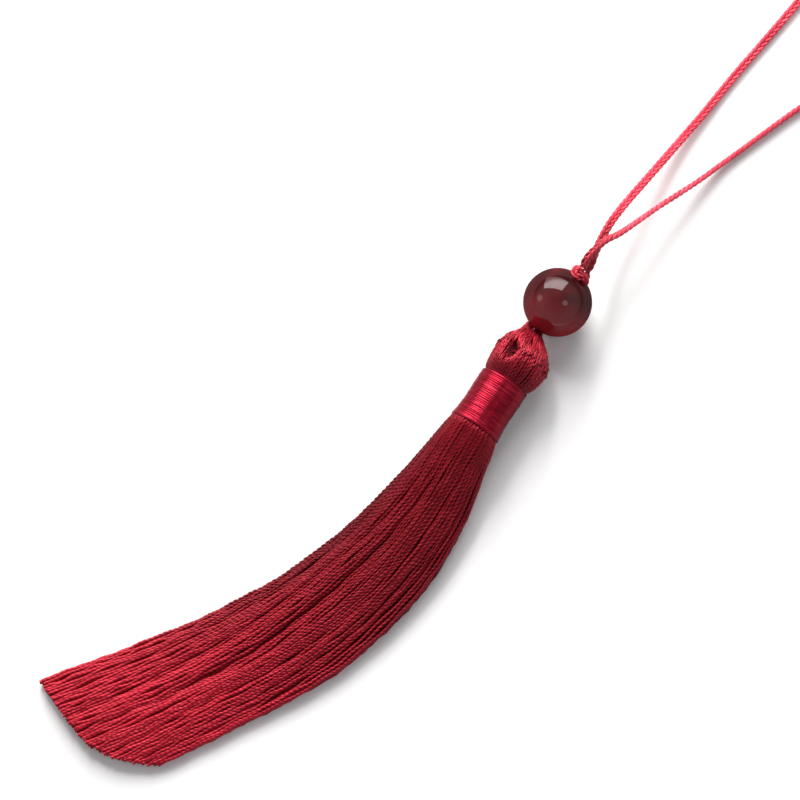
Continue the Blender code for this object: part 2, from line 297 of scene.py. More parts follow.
class Finish:
    """A material with one Principled shader, built up node by node."""

    def __init__(self, name, **numbers):
        self.material = bpy.data.materials.new(name)
        self.material.use_nodes = True
        self.tree = self.material.node_tree
        self.shader = self.tree.nodes["Principled BSDF"]
        self.colour = None
        for label, value in numbers.items():
            self.shader.inputs[label.replace("_", " ")].default_value = value

    def node(self, kind, settings, sockets, out=0):
        """Adds a node: its settings first, then the values or links of its sockets."""
        made = self.tree.nodes.new(kind)
        stops = settings.pop("stops", ())
        for label, value in settings.items():
            setattr(made, label, value)
        if stops:
            ramp = made.color_ramp.elements
            while len(ramp) < len(stops):
                ramp.new(1.0)
            for element, (place, colour) in zip(ramp, stops):
                element.position = place
                element.color = (*colour, 1.0)
        for label, value in sockets.items():
            if isinstance(value, Wire):
                self.tree.links.new(value.socket, made.inputs[label])
            else:
                made.inputs[label].default_value = value
        return Wire(self, made.outputs[out])

    def attribute(self, label):
        return self.node("ShaderNodeAttribute", {"attribute_name": label}, {}, out="Fac")

    def spot(self):
        return self.node("ShaderNodeTexCoord", {}, {}, out="Object")

    def noise(self, vector, scale, detail=2.0):
        return self.node("ShaderNodeTexNoise", {}, {"Vector": vector, "Scale": scale,
                                                    "Detail": detail})

    def vector(self, x, y, z):
        return self.node("ShaderNodeCombineXYZ", {}, {0: x, 1: y, 2: z})

    def vector_maths(self, operation, first, second):
        return self.node("ShaderNodeVectorMath", {"operation": operation}, {0: first, 1: second},
                         out="Value")

    def ramp(self, share, *stops):
        return self.node("ShaderNodeValToRGB", {"stops": stops}, {0: share})

    def mix(self, low, high, share, blend_type="MIX"):
        """Two colours mixed. Colours go through sockets 6 and 7 of the Mix node."""
        return self.node("ShaderNodeMix", {"data_type": "RGBA", "blend_type": blend_type},
                         {0: share, 6: low, 7: high}, out=2)

    def bump(self, height, depth):
        return self.node("ShaderNodeBump", {}, {"Height": height, "Distance": depth * MM})

    def feed(self, label, wire):
        self.tree.links.new(wire.socket, self.shader.inputs[label])

    def paint(self, colour):
        self.colour = colour
        self.feed("Base Color", colour)

    def shade(self, by, share=1.0):
        """Multiplies the colour painted so far by another one, in full or by a share: painted shade."""
        self.paint(self.mix(self.colour, by, share, "MULTIPLY"))


THREAD_TINT = (1.0, 0.40, 0.46, 1.0)
SHADE_STOPS = (0.30, 0.50, 0.72)     # where a thread's dark, middle and light colours stand
GRAIN_ALONG = 0.5                    # how closely the filaments' grain lies along a strand
GRAIN_APART = 3.7                    # how far apart two strands read the grain
GRAIN_SHARE = 0.55                   # how much of a strand's shade is grain, and not patches
PATCH_ALONG = 0.22
PATCH_APART = 5.1
GRAIN_ROUGHNESS = 0.2
GRAIN_DEPTH = 0.02
# painted shade: the colour that the grooves between a thread's two plies are darkened by
PAINTED_GROOVE_SHADE = (0.30, 0.20, 0.22, 1.0)
PAINTED_GROOVE_SHARE = 0.8


def thread_finish(name, colours, filaments, silk, roughness):
    """Rayon thread: fine filaments along it, painted shade in its grooves, each strand a little
    different.

    filaments is how closely the grain lies round a strand. silk is how much of the light comes
    back in the thread's own colour, as from a metal.
    """
    finish = Finish(name, Roughness=roughness, Metallic=silk, Specular_Tint=THREAD_TINT)
    along = finish.attribute("along")
    number = finish.attribute("number")
    around = finish.attribute("around")
    lie = finish.vector(along * GRAIN_ALONG, around * filaments, number * GRAIN_APART)
    grain = finish.noise(lie, 1.0, 3.0)
    patch = finish.noise(finish.vector(along * PATCH_ALONG, number * PATCH_APART, 0.0), 1.0)
    shade = grain * GRAIN_SHARE + patch * (1.0 - GRAIN_SHARE)
    finish.paint(finish.ramp(shade, *zip(SHADE_STOPS, colours)))
    # painted shade in the grooves between the plies
    finish.shade(PAINTED_GROOVE_SHADE, finish.attribute("groove") * PAINTED_GROOVE_SHARE)
    finish.feed("Roughness", roughness - GRAIN_ROUGHNESS / 2 + grain * GRAIN_ROUGHNESS)
    finish.feed("Normal", finish.bump(grain, GRAIN_DEPTH))
    return finish


CORD_COLOURS = ((0.34, 0.014, 0.034), (0.76, 0.058, 0.094), (1.00, 0.150, 0.200))
CORD_NEAR = 14.0                 # within this length of the knot the cord has painted shade
CORD_FADE = 10.0
CORD_PAINTED_SHADE = (0.33, 0.16, 0.20, 1.0)
CORD_PAINTED_SHARE = 0.9

cord_finish = thread_finish("braided_cord", CORD_COLOURS, filaments=4.0, silk=0.12, roughness=0.42)
cord_far = abs(cord_finish.attribute("along") - LOOP_LENGTH / 2)
near_from = LOOP_LENGTH / 2 - CORD_NEAR
cord_shade_share = cord_far.step(near_from, near_from + CORD_FADE)
# painted shade on the cord near the knot, and over the whole stem and knot
cord_finish.shade(CORD_PAINTED_SHADE, cord_shade_share * CORD_PAINTED_SHARE)

loop_line = [Vector(point) for point in (KNOT_ENDS[0], *LOOP_ROUTE, KNOT_ENDS[1])]
loop_route = smooth_route(loop_line, LOOP_STEP)
loop_rolls = [table_row(LOOP_ROLL, i / (len(loop_route) - 1))[0] for i in range(len(loop_route))]
loop_strands = Strands()
plait(loop_strands, loop_route, loop_rolls)
loop = loop_strands.piece("loop_plait", cord_finish, "braided_cord", "loop")


# The skirt: about 220 twisted rayon threads, cut square at the hem. They come out from under the
# binding as a round hank, spread into a flat layer and cling together in long ribbons.

ROOT_Y = -8.8
ROOT_HIDDEN = 1.4                # length of a thread that the binding covers
SKIRT_LENGTH = 72.3
HEM_SLANT = 5.5                  # how much longer the left edge is than the middle, and the right shorter
HEM_ROUND = 3.4                  # how much shorter both edges are than the middle
HEM_WAVE = 0.85
HEM_UNEVEN = 0.22
SKIRT_BEND = math.radians(33.0)
BEND_FROM, BEND_TO = 2.0, 58.0   # along the skirt, where it bends to the side
EDGE_DROP = 0.45                 # how much thinner the flat layer is at its two edges
CROWN_SPREAD = math.radians(78.75)    # how far round the hank its top row reaches to each side
CORNER = math.radians(11.25)     # how far round its side the rows fan out
SKIRT_SECTIONS = (
    # along, width, thick, base, shift, flat
    (-1.4, 7.6, 7.6, 0.70, 0.0, 0.00),
    (-0.3, 7.8, 7.8, 0.60, 0.02, 0.01),
    (0.2, 8.05, 7.9, 0.55, 0.05, 0.03),
    (0.9, 8.5, 7.7, 0.50, 0.08, 0.08),
    (5.0, 9.75, 6.5, 0.2, 0.08, 0.35),
    (12.0, 12.3, 5.3, 0.0, 0.36, 0.70),
    (21.0, 14.6, 4.2, 0.0, 0.5, 1.00),
    (31.0, 15.9, 3.5, 0.0, 0.35, 1.00),
    (42.0, 17.0, 3.0, 0.0, 0.3, 1.00),
    (55.0, 16.9, 2.6, 0.0, 0.0, 1.00),
    (SKIRT_LENGTH, 18.5, 2.3, 0.0, -0.2, 1.00),
)
SKIRT_COLUMNS = 45               # threads side by side in the top row
LAYERS = (
    # piece, height from -1 to 1, columns, first and last column, step, sides
    ("skirt_top_left", 1.0, SKIRT_COLUMNS, 0, SKIRT_COLUMNS // 2, 0.17, 8),
    ("skirt_top_right", 1.0, SKIRT_COLUMNS, SKIRT_COLUMNS // 2, SKIRT_COLUMNS, 0.17, 8),
    ("skirt_under", 0.55, SKIRT_COLUMNS - 1, 0, SKIRT_COLUMNS - 1, 0.32, 8),
    ("skirt_back", 0.0, SKIRT_COLUMNS, 0, SKIRT_COLUMNS, 1.2, 6),
    ("skirt_back", -0.5, SKIRT_COLUMNS - 1, 0, SKIRT_COLUMNS - 1, 1.2, 6),
    ("skirt_back", -1.0, SKIRT_COLUMNS, 0, SKIRT_COLUMNS, 0.5, 6),
)
SPINE_STEP = 0.25
SPINE_SPARE = 1.12               # how much longer the spine is drawn than the skirt


def ease(value):
    """0 below 0, 1 above 1, and a smooth step between."""
    value = min(max(value, 0.0), 1.0)
    return value * value * (3.0 - 2.0 * value)


def skirt_spine():
    """The skirt's middle line: its place and heading at each step from its root."""
    line = []
    x, y = 0.0, ROOT_Y
    for i in range(int(SKIRT_LENGTH * SPINE_SPARE / SPINE_STEP)):
        turn = SKIRT_BEND * ease((i * SPINE_STEP - BEND_FROM) / (BEND_TO - BEND_FROM))
        line.append((x, y, turn))
        x -= math.sin(turn) * SPINE_STEP
        y -= math.cos(turn) * SPINE_STEP
    return line


SPINE = skirt_spine()


def skirt_point(u, w, along, reach, inset):
    """A point of the skirt: u across and w upward, from -1 to 1, a thread's radius inside."""
    width, thick, base, shift, flat = table_row(SKIRT_SECTIONS, along / reach)
    width -= 2 * inset
    thick -= 2 * inset
    round_x = math.sin(u * CROWN_SPREAD) * math.cos(w * CORNER) / math.cos(CORNER)
    round_z = math.cos(u * CROWN_SPREAD) * math.sin(w * CORNER) / math.sin(CORNER)
    dome = 1.0 - EDGE_DROP * abs(u) ** 3
    side = shift + blend(round_x, u, flat) * width / 2
    height = base + inset + (1.0 + blend(round_z, (1.0 + w) * dome - 1.0, flat)) * thick / 2
    place = max(along, 0.0) / SPINE_STEP
    x, y, turn = SPINE[min(int(place), len(SPINE) - 2)]
    part = place - int(place)
    x -= math.sin(turn) * SPINE_STEP * part
    y -= math.cos(turn) * SPINE_STEP * part
    y -= min(along, 0.0)
    return Vector((x + math.cos(turn) * side, y - math.sin(turn) * side, height))


PARTED_THREADS = (-0.72, -0.36, -0.01, 0.45, 0.73, 0.87)    # the thread that each parting is at
PARTING_PLACES = (
    # along, then how far across each parting lies
    (0.0, -0.84, -0.56, -0.17, 0.36, 0.62, 0.80),
    (12.0, -0.85, -0.53, -0.16, 0.31, 0.62, 0.80),
    (25.0, -0.84, -0.62, -0.21, 0.36, 0.62, 0.77),
    (38.0, -0.80, -0.55, -0.15, 0.35, 0.63, 0.79),
    (50.0, -0.76, -0.42, 0.00, 0.40, 0.70, 0.86),
    (62.0, -0.71, -0.30, 0.05, 0.48, 0.76, 0.89),
    (75.0, -0.69, -0.27, 0.06, 0.50, 0.80, 0.91),
)
PARTING_WIDTHS = (
    # along, then how wide each parting is
    (0.0, 0.00, 0.00, 0.00, 0.06, 0.00, 0.00),
    (12.0, 0.00, 0.12, 0.14, 0.30, 0.06, 0.05),
    (25.0, 0.22, 0.22, 0.34, 0.20, 0.30, 0.28),
    (38.0, 0.20, 0.24, 0.50, 0.26, 0.34, 0.34),
    (50.0, 0.05, 0.24, 0.50, 0.28, 0.18, 0.26),
    (62.0, 0.14, 0.20, 0.12, 0.14, 0.05, 0.06),
    (75.0, 0.05, 0.05, 0.10, 0.04, 0.00, 0.00),
)
RIBBON_DIP = 1.1                 # how far an edge sinks for each millimetre that a parting opens
RIBBON_CROWN = 0.14              # how far an edge lies below a ribbon's middle when closed
RIBBON_EDGE = 0.6                # over what distance from its edge a ribbon curves down
RIBBONED_ABOVE = 0.5             # only layers higher than this have ribbons


def ribboned(u, along, width):
    """Where a thread lies across once the ribbons have parted, and how far it has sunk."""
    homes = (-1.0, *PARTED_THREADS, 1.0)
    places = (-1.0, *table_row(PARTING_PLACES, along, smooth=True), 1.0)
    gaps = (0.0, *(max(gap, 0.0) for gap in table_row(PARTING_WIDTHS, along, smooth=True)), 0.0)
    k = next(i for i in range(len(homes) - 1) if u <= homes[i + 1])
    share = (u - homes[k]) / (homes[k + 1] - homes[k])
    low = places[k] + gaps[k] / width
    high = places[k + 1] - gaps[k + 1] / width
    across = blend(low, high, share)
    sunk = 0.0
    for edge, gap in ((low, gaps[k]), (high, gaps[k + 1])):
        inside = abs(across - edge) * width / 2
        sunk += (RIBBON_CROWN + RIBBON_DIP * gap) * math.exp(-inside / RIBBON_EDGE)
    return across, sunk


FINE_PARTINGS = 30
FINE_ACROSS = (-0.95, 0.95)
FINE_STARTS = (-4.0, 62.0)
FINE_LENGTHS = (8.0, 30.0)
FINE_WIDTHS = (0.05, 0.17)
FINE_REACH = 3.0                 # how far to either side threads are pushed
FINE_FADE = 0.7                  # over what distance the push dies away


def make_fine_partings(chance):
    """Short narrow gaps between threads: where across, from and to, how wide."""
    partings = []
    for i in range(FINE_PARTINGS):
        start = chance.uniform(*FINE_STARTS)
        partings.append((chance.uniform(*FINE_ACROSS), start, start + chance.uniform(*FINE_LENGTHS),
                         chance.uniform(*FINE_WIDTHS)))
    return partings


thread_chance = random.Random(11)
FINE_LINES = make_fine_partings(thread_chance)


def finely_parted(u, along, width):
    """How far the fine partings push a thread aside, in millimetres."""
    push = 0.0
    for middle, start, end, opening in FINE_LINES:
        apart = (u - middle) * width / 2
        if start < along < end and abs(apart) < FINE_REACH:
            open_by = opening * math.sin(math.pi * (along - start) / (end - start))
            push += math.copysign(open_by * math.exp(-abs(apart) / FINE_FADE), apart)
    return push


THREAD_RADIUS = 0.29
THREAD_PITCH = 1.45              # length of a whole turn of the two plies
THREAD_RELIEF = 0.23             # how deep the groove between the two plies is, in radii
HEM_RELIEF = 0.07                # the twist has loosened towards the hem
THREAD_GIRTH = (
    # along, how stout a proud thread is, how stout a deep one is, how far the deep one lies under
    (0.0, 0.94, 0.78, 0.17),
    (12.0, 1.05, 0.84, 0.16),
    (32.0, 1.02, 1.00, 0.03),
    (SKIRT_LENGTH, 1.14, 1.14, 0.00),
)
SWAYS = (
    # how far a thread strays sideways, over what length
    ((0.01, 0.07), (9.0, 30.0)),
    ((0.01, 0.07), (9.0, 30.0)),
    ((0.02, 0.05), (3.0, 7.0)),
)
WOBBLES = (
    # how far a thread sinks, over what length
    ((0.0, 0.05), (3.0, 8.0)),
)
LOOSER_AT_HEM = 1.4              # how much more the threads stray at the hem than at the root
SINKS = (0.0, 0.06)              # how far a thread lies below its layer, in half the thickness
STOUTNESS = (0.90, 1.08)
ASTRAY = (-0.02, 0.02)           # how far across a thread comes out from its place in the row
PITCHES = (0.90, 1.10)
PHASES = (0.0, 100.0)            # numbers that tell the threads apart
SWAYS_BY = 8.0                   # along the skirt, where the threads sway in full
RIBBONS_BY = 6.0                 # where the ribbons have sunk edges in full
ASTRAY_TO = 14.0                 # where the threads are back in their places
LEFT_SHADE_FROM = -0.20                # from here to the left edge the threads have painted shade


def drawn_waves(rows, chance):
    """One wave for each row: how far, over what length and where it starts."""
    return [(chance.uniform(*size), chance.uniform(*wave), chance.uniform(0.0, 2 * math.pi))
            for size, wave in rows]


def waving(waves, along):
    return sum(size * math.sin(2 * math.pi * along / wave + start) for size, wave, start in waves)


def skirt_thread(strands, u, w, step, sides, deep):
    """One thread from under the binding to the hem. deep is 1 for one that lies low, or 0."""
    chance = thread_chance
    length = (SKIRT_LENGTH - HEM_SLANT * u - HEM_ROUND * u * u
              + HEM_WAVE * math.sin(math.pi * u) + chance.uniform(-HEM_UNEVEN, HEM_UNEVEN))
    reach = length / SKIRT_LENGTH
    sway = drawn_waves(SWAYS, chance)
    wobble = drawn_waves(WOBBLES, chance)
    sink = chance.uniform(*SINKS)
    stout = chance.uniform(*STOUTNESS)
    astray = chance.uniform(*ASTRAY)
    count = round((length + ROOT_HIDDEN) / step)
    route, radii, reliefs = [], [], []
    for i in range(count + 1):
        along = blend(-ROOT_HIDDEN, length, i / count)
        width, thick = table_row(SKIRT_SECTIONS, along / reach)[:2]
        loose = 1.0 + LOOSER_AT_HEM * ease(along / SKIRT_LENGTH)
        proud_girth, deep_girth, under = table_row(THREAD_GIRTH, along)
        aside = waving(sway, along) * loose * ease(along / SWAYS_BY)
        across, sunk = u, 0.0
        if w > RIBBONED_ABOVE:
            across, sunk = ribboned(u, max(along, 0.0), width)
            aside += finely_parted(u, along, width)
            sunk *= ease(along / RIBBONS_BY)
        sunk += deep * under + abs(waving(wobble, along)) * loose
        low = w - max(w, 0.0) * sink - 2 * sunk / thick
        stray = astray * (1.0 - ease(along / ASTRAY_TO))
        placed_u = min(max(across + 2.0 * aside / width + stray, -1.0), 1.0)
        radius = stout * THREAD_RADIUS * (deep_girth if deep else proud_girth)
        route.append(skirt_point(placed_u, low, along, reach, radius))
        radii.append(radius)
        reliefs.append(blend(THREAD_RELIEF, HEM_RELIEF, ease(along / SKIRT_LENGTH * 2 - 1)))
    # edge sets how much painted shade a thread gets near the skirt's left edge
    strands.tube(route, radii, sides=sides, plies=2, pitch=THREAD_PITCH * chance.uniform(*PITCHES),
                 relief=reliefs, phase=chance.uniform(*PHASES),
                 edge=ease((LEFT_SHADE_FROM - u) / (LEFT_SHADE_FROM + 1.0)))


SKIRT_COLOURS = ((0.33, 0.005, 0.017), (0.50, 0.011, 0.029), (0.72, 0.034, 0.062))
SKIRT_PAINTED_SHADES = (
    # share of the skirt's length, how bright the thread is painted there: painted shade, deepest near the
    # neck
    (0.00, (0.64, 0.55, 0.58)),
    (0.12, (0.47, 0.40, 0.42)),
    (0.33, (0.47, 0.40, 0.42)),
    (0.50, (0.58, 0.52, 0.53)),
    (0.62, (0.68, 0.63, 0.64)),
    (0.85, (0.94, 0.92, 0.93)),
    (1.00, (0.88, 0.88, 0.88)),
)
LEFT_SHADE_FADES = (24.0, 80.0)        # along the skirt, where the left edge's painted shade fades
LEFT_EDGE_PAINTED_SHADE = (0.47, 0.40, 0.42, 1.0)

rayon_finish = thread_finish("rayon_thread", SKIRT_COLOURS, filaments=1.3, silk=0.35, roughness=0.42)
rayon_along = rayon_finish.attribute("along")
# painted shade on the skirt's left edge, fading towards the hem
left_edge_shade = rayon_finish.attribute("edge") * (1.0 - rayon_along.step(*LEFT_SHADE_FADES))
# painted shade along the skirt, deepest near the neck
rayon_finish.shade(rayon_finish.ramp(rayon_along / SKIRT_LENGTH, *SKIRT_PAINTED_SHADES))
rayon_finish.shade(LEFT_EDGE_PAINTED_SHADE, left_edge_shade)

layer_strands = {}
for name, w, columns, start, end, step, sides in LAYERS:
    threads = layer_strands.setdefault(name, Strands())
    for k in range(start, end):
        skirt_thread(threads, -1.0 + (2 * k + 1) / columns, w, step, sides, k % 2)
for name, threads in layer_strands.items():
    threads.piece(name, rayon_finish, "rayon_thread", "skirt")


# The head: the fold of the same threads over the cord, drawn together round the crown and
# gripped below by the binding. The cord goes down into the well at the top.

AXIS_HEIGHT = 4.5                # height of the neck's axis over the table
HEAD_SECTIONS = (
    # y, radius, shift, sink
    (-0.9, 3.42, 0.00, 0.0),
    (0.05, 3.58, 0.02, 0.0),
    (0.55, 3.84, 0.06, 0.0),
    (1.20, 4.08, 0.15, 0.0),
    (2.20, 4.28, 0.22, 0.0),
    (3.30, 4.36, 0.24, 0.0),
    (4.40, 4.20, 0.16, 0.0),
    (5.40, 3.82, 0.04, 0.1),
    (6.30, 3.26, -0.10, 0.2),
    (7.10, 2.60, -0.25, 0.3),
    (7.70, 2.02, -0.36, 0.4),
    (8.00, 1.62, -0.42, 0.5),
    (7.70, 1.38, -0.45, 0.5),
    (6.60, 1.30, -0.42, 0.3),
)
HEAD_THREADS = 84
HEAD_THREAD_RADIUS = 0.25
HEAD_SIDES = 8
HEAD_STEP = 0.17
HEAD_TWIST = 0.35                # how far round a thread goes from its lower end to the well
HEAD_UNEVEN = 0.16               # how far a thread strays towards the next one
LEANS = (-0.02, 0.02)            # how far round it strays on its way
PROUD = (-0.04, 0.04)            # how far out it stands
SWING_LENGTHS = (1.6, 2.6)       # over what length a loose thread sways
CLOSE_PACKED = 0.95              # how much of its share of the ring a thread fills
CLOSE_SPARE = 0.06
FAN_SECTIONS = (
    # y, radius, shift, sink
    (1.30, 3.90, 0.15, 0.0),
    (2.10, 4.34, 0.22, 0.0),
    (3.30, 4.47, 0.24, 0.0),
    (4.40, 4.33, 0.16, 0.0),
    (5.40, 3.95, 0.04, 0.1),
    (6.30, 3.40, -0.10, 0.2),
    (7.10, 2.75, -0.25, 0.3),
    (7.90, 2.10, -0.42, 0.60),
    (8.55, 1.72, -0.72, 1.30),
    (9.35, 1.52, -0.88, 1.62),
)
FAN_THREADS = 48
FAN_WOBBLE = 0.10
FAN_UNEVEN = 0.25
FAN_SHORTER = (0.6, 2.4)         # how much higher than the table says a loose thread ends
FAN_SHORT_BELOW = 4.4            # the height where it starts to fall short
FAN_SHORT_OVER = 2.0
PITS = (
    # turn in degrees, y, half its length, opening in degrees, depth
    (119.0, 3.8, 1.2, 15.0, 1.4),
    (80.0, 6.6, 0.7, 6.0, 0.6),
)
PIT_REACH = math.radians(13.0)
HEAD_COLOURS = ((0.26, 0.004, 0.015), (0.54, 0.018, 0.040), (1.00, 0.090, 0.135))
HEAD_PAINTED_SHADES = (
    # share of the skirt's length from a thread's lower end, how bright it is painted there: painted shade
    # low on the head
    (0.03, (0.42, 0.34, 0.38)),
    (0.09, (1.00, 1.00, 1.00)),
)


def round_pits(turn, y):
    """How far the two pits in the head push a thread round it, and how far they sink it."""
    push, sunk = 0.0, 0.0
    for where, middle, half, opening, depth in PITS:
        apart = turn - math.radians(where)
        near = math.exp(-((y - middle) / half) ** 2)
        push += math.copysign(math.radians(opening) * near * math.exp(-abs(apart) / PIT_REACH), apart)
        sunk += depth * near * math.exp(-(apart / PIT_REACH) ** 2)
    return push, sunk


def round_neck(shift, y, sink, out, turn):
    """A point at a turn round the neck's axis, out from it by some millimetres."""
    return Vector((shift + out * math.cos(turn), y, AXIS_HEIGHT - sink + out * math.sin(turn)))


def head_thread(strands, sections, turn, twist, wobble):
    """One thread over the head, through a ring of places that the sections give."""
    chance = head_chance
    lean = chance.uniform(*LEANS)
    proud = chance.uniform(*PROUD)
    start, wave = chance.uniform(0.0, 2 * math.pi), chance.uniform(*SWING_LENGTHS)
    corners = []
    for i, (y, ring, shift, sink) in enumerate(sections):
        share = i / (len(sections) - 1)
        swing = 2 * math.pi * y / wave + start
        angle = turn + twist * share + lean * math.sin(2 * math.pi * share)
        push, sunk = round_pits(angle, y)
        out = (ring - HEAD_THREAD_RADIUS + proud * math.sin(math.pi * share)
               + wobble * math.sin(swing) - sunk)
        angle += push + wobble * math.cos(swing) / ring
        corners.append(round_neck(shift, y, sink, out, angle))
    route = smooth_route(corners, HEAD_STEP)
    radii = []
    for point in route:
        girth = math.hypot(point.x, point.z - AXIS_HEIGHT)
        packed = CLOSE_PACKED * math.pi * girth / HEAD_THREADS + CLOSE_SPARE
        radii.append(min(HEAD_THREAD_RADIUS, packed))
    strands.tube(route, radii, sides=HEAD_SIDES, plies=2, pitch=THREAD_PITCH, relief=THREAD_RELIEF,
                 phase=chance.uniform(*PHASES))


head_chance = random.Random(5)
head_threads = Strands()
for k in range(HEAD_THREADS):
    turn = 2 * math.pi * (k + head_chance.uniform(-HEAD_UNEVEN, HEAD_UNEVEN)) / HEAD_THREADS
    head_thread(head_threads, HEAD_SECTIONS, turn, HEAD_TWIST, 0.0)
fan_threads = Strands()
for k in range(FAN_THREADS):
    turn = 2 * math.pi * (k + head_chance.uniform(-FAN_UNEVEN, FAN_UNEVEN)) / FAN_THREADS
    shorter = head_chance.uniform(*FAN_SHORTER)
    sections = [(y + shorter * ease((FAN_SHORT_BELOW - y) / FAN_SHORT_OVER), *rest)
                for y, *rest in FAN_SECTIONS]
    head_thread(fan_threads, sections, turn, -HEAD_TWIST / 2, FAN_WOBBLE)

head_finish = thread_finish("rayon_head", HEAD_COLOURS, filaments=1.3, silk=0.42, roughness=0.34)
head_along = head_finish.attribute("along")
# painted shade on the lower band of the head
head_finish.shade(head_finish.ramp(head_along / SKIRT_LENGTH, *HEAD_PAINTED_SHADES))
head_threads.piece("head_threads", head_finish, "rayon_thread", "skirt")
fan_threads.piece("head_fan", head_finish, "rayon_thread", "skirt")


# The core: the inside of the hank, rayon threads too deep in the head and the neck to be told
# apart. One turned body stands for them and closes what the drawn threads leave open; its dark
# colour is painted shade.

CORE_SECTIONS = (
    # y, radius, shift, sink
    (-9.2, 2.6, 0.00, 0.0),
    (0.15, 2.6, 0.00, 0.0),
    (0.55, 3.25, 0.06, 0.0),
    (1.20, 3.62, 0.15, 0.0),
    (2.20, 3.86, 0.22, 0.0),
    (3.30, 3.93, 0.24, 0.0),
    (4.40, 3.77, 0.16, 0.0),
    (5.40, 3.40, 0.04, 0.1),
    (6.30, 2.84, -0.10, 0.2),
    (7.10, 2.18, -0.25, 0.3),
    (7.50, 1.80, -0.36, 0.4),
    (7.60, 1.55, -0.42, 0.5),
    (6.60, 1.45, -0.42, 0.3),
)
CORE_SIDES = 64
CORE_PITS = 1.2                  # how much deeper than the threads the core sinks in the pits
CORE_GRAIN = 3000.0
CORE_PAINTED_SHADES = ((0.35, (0.035, 0.001, 0.003)), (0.65, (0.09, 0.002, 0.007)))


def turned(name, sections, finish, node, pits=0.0):
    """A piece turned about the neck's axis: a ring of points for each section, ends closed."""
    points, faces = [], []
    for y, radius, shift, sink in sections:
        for k in range(CORE_SIDES):
            turn = 2 * math.pi * k / CORE_SIDES
            points.append(round_neck(shift, y, sink, radius - round_pits(turn, y)[1] * pits, turn))
    for i in range(len(sections) - 1):
        row = i * CORE_SIDES
        for k in range(CORE_SIDES):
            j = (k + 1) % CORE_SIDES
            faces.append((row + j, row + k, row + CORE_SIDES + k, row + CORE_SIDES + j))
    faces.append(tuple(range(CORE_SIDES)))
    faces.append(tuple(range(len(points) - 1, len(points) - CORE_SIDES - 1, -1)))
    mesh_piece(name, points, faces, finish, node, sharp_from=math.pi)


# painted shade: the core's near-black colour stands for the shadow deep in the hank
core_shade_finish = Finish("rayon_core_shade", Roughness=0.8, Specular_IOR_Level=0.1)
core_shade_finish.paint(core_shade_finish.ramp(core_shade_finish.noise(core_shade_finish.spot(), CORE_GRAIN), *CORE_PAINTED_SHADES))
turned("hank_core", CORE_SECTIONS, core_shade_finish, "skirt", pits=CORE_PITS)


# The binding: the same rayon, untwisted and silky, wound tightly round the neck in 28 close
# turns, with its ends tucked under. A plain layer under them closes the gaps between turns, dark
# with painted shade.

BINDING_LENGTH = 8.5
BINDING_TURNS = 28
TURN_SIDES = 8
TURN_STEPS = 72
BINDING_SECTIONS = (
    # y, radius
    (-BINDING_LENGTH, 3.90),
    (-BINDING_LENGTH + 0.3, 3.99),
    (-7.0, 3.82),
    (-5.0, 3.69),
    (-2.0, 3.76),
    (-0.3, 3.73),
    (0.0, 3.62),
)
WOUND_RADIUS = 0.30
WOUND_SLACK = (
    # how far out a turn lies, how fast that changes round the neck, where it starts
    (0.020, 0.37, 1.0),
    (0.012, 0.83, 0.0),
)
WOUND_SWAY = (
    # how far along the neck a turn strays, how fast that changes, where it starts
    (0.05, 0.21, 2.0),
)
WOUND_COLOURS = ((0.14, 0.001, 0.008), (0.28, 0.005, 0.020), (0.66, 0.040, 0.080))
TOP_HEIGHT = 8.4
WOUND_PAINTED_SHADES = (
    # share of the top's height, how bright the thread is painted there: painted shade low on its sides
    (0.52, (0.28, 0.22, 0.26)),
    (0.80, (0.50, 0.45, 0.47)),
    (0.90, (0.86, 0.84, 0.84)),
    (0.96, (1.00, 1.00, 1.00)),
)
UNDER_DEPTH = 0.28
UNDER_SHARE = 0.97               # how much of the binding's length the layer under it covers
UNDER_SHIFT = -0.12


def uneven(rows, turn):
    return sum(size * math.sin(turn * pace + start) for size, pace, start in rows)


wound_route = []
for i in range(BINDING_TURNS * TURN_STEPS + 1):
    share = i / (BINDING_TURNS * TURN_STEPS)
    y = blend(-BINDING_LENGTH + WOUND_RADIUS, -WOUND_RADIUS, share)
    turn = 2 * math.pi * i / TURN_STEPS
    out = table_row(BINDING_SECTIONS, y)[0] - WOUND_RADIUS + uneven(WOUND_SLACK, turn)
    wound_route.append(round_neck(0.0, y + uneven(WOUND_SWAY, turn), 0.0, out, turn))
wound_strand = Strands()
wound_strand.tube(wound_route, WOUND_RADIUS, sides=TURN_SIDES)

wound_finish = thread_finish("wound_thread", WOUND_COLOURS, filaments=2.5, silk=0.75, roughness=0.20)
wound_height = wound_finish.node("ShaderNodeSeparateXYZ", {}, {0: wound_finish.spot()}, out="Z")
# painted shade low on the binding's sides, full colour at its top
wound_finish.shade(wound_finish.ramp(wound_height / (TOP_HEIGHT * MM), *WOUND_PAINTED_SHADES))
wound_strand.piece("binding_winding", wound_finish, "wound_thread", "binding")

UNDER_SECTIONS = [(y * UNDER_SHARE + UNDER_SHIFT, radius - UNDER_DEPTH, 0.0, 0.0)
                  for y, radius in BINDING_SECTIONS]
# painted shade: the layer under the turns takes the core's dark colour
turned("binding_under", UNDER_SECTIONS, core_shade_finish, "binding")


# The stem: the loop's two braided ends side by side, from the well in the crown through the
# bead's bore. The fold of the hank holds them below and the knot above.

